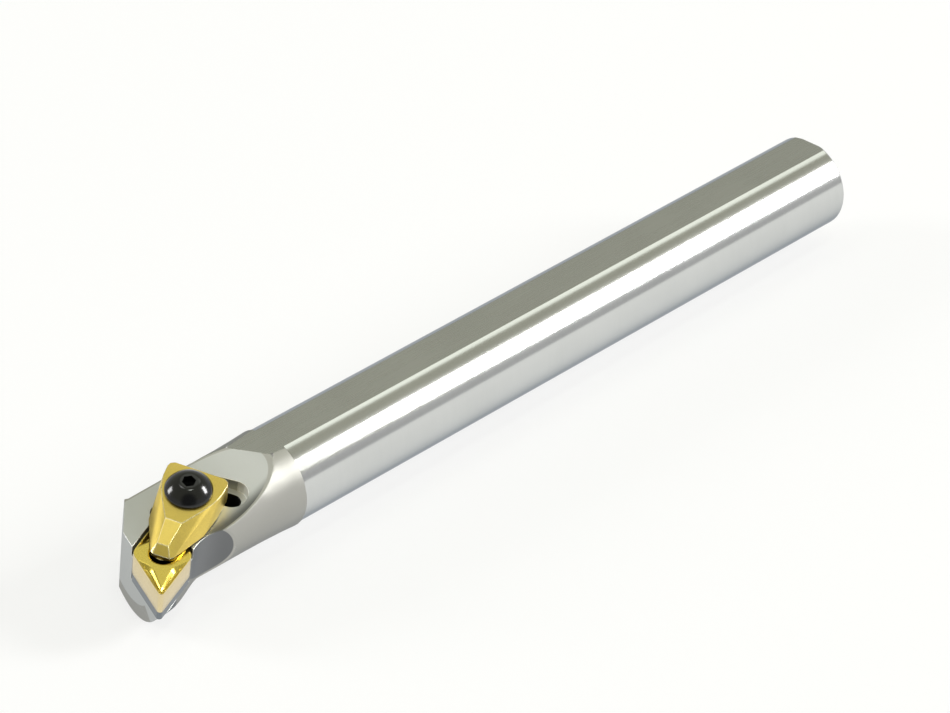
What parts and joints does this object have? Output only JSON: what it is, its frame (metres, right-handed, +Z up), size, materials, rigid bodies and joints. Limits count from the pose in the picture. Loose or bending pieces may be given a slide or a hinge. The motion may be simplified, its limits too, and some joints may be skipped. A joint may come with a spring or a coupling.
{
  "type": "boring bar",
  "caption": "Steel boring bar with a round shank, a tilted indexable insert and a screw-down top clamp on a lifting spring.",
  "frame": {"origin": "centre of the rear end face of the shank, on the shank's axis", "axes": "+X along the shank towards the cutting head, +Y towards the side the cutting point stands out on, +Z up out of the top flat and the clamp"},
  "size_m": [0.25, 0.0298, 0.0303],
  "materials": {
    "bar_steel": "satin, shank ground",
    "insert_coating": "thin gold coating on carbide, satin",
    "clamp_coating": "thin gold coating on steel, satin",
    "shim_carbide": "ground carbide",
    "screw_oxide": "black oxide, oiled",
    "wire_steel": "bright drawn wire"
  },
  "bodies": {
    "bar": {"bar_body": "bar_steel", "insert": "insert_coating", "shim": "shim_carbide", "shim_screw": "screw_oxide", "clamp_spring": "wire_steel"},
    "clamp": {"clamp": "clamp_coating", "spring_washer": "wire_steel"},
    "clamp_screw": {"clamp_screw": "screw_oxide"}
  },
  "joints": [
    {"name": "clamp_lift", "type": "slide", "parent": "bar", "child": "clamp", "axis": [0.1648, 0.2631, 0.9506], "range_m": [0, 0.003], "deforming": ["clamp_spring"]},
    {"name": "clamp_screw_turn", "type": "hinge", "parent": "clamp", "child": "clamp_screw", "pos_m": [0.22587, 0.0003, 0.00533], "axis": [0.1648, 0.2631, 0.9506], "range_deg": [0, 1080]}
  ],
  "couplings": [
    {"joint": "clamp_screw_turn", "follows": "clamp_lift", "rad_per_m": 6283.2}
  ]
}
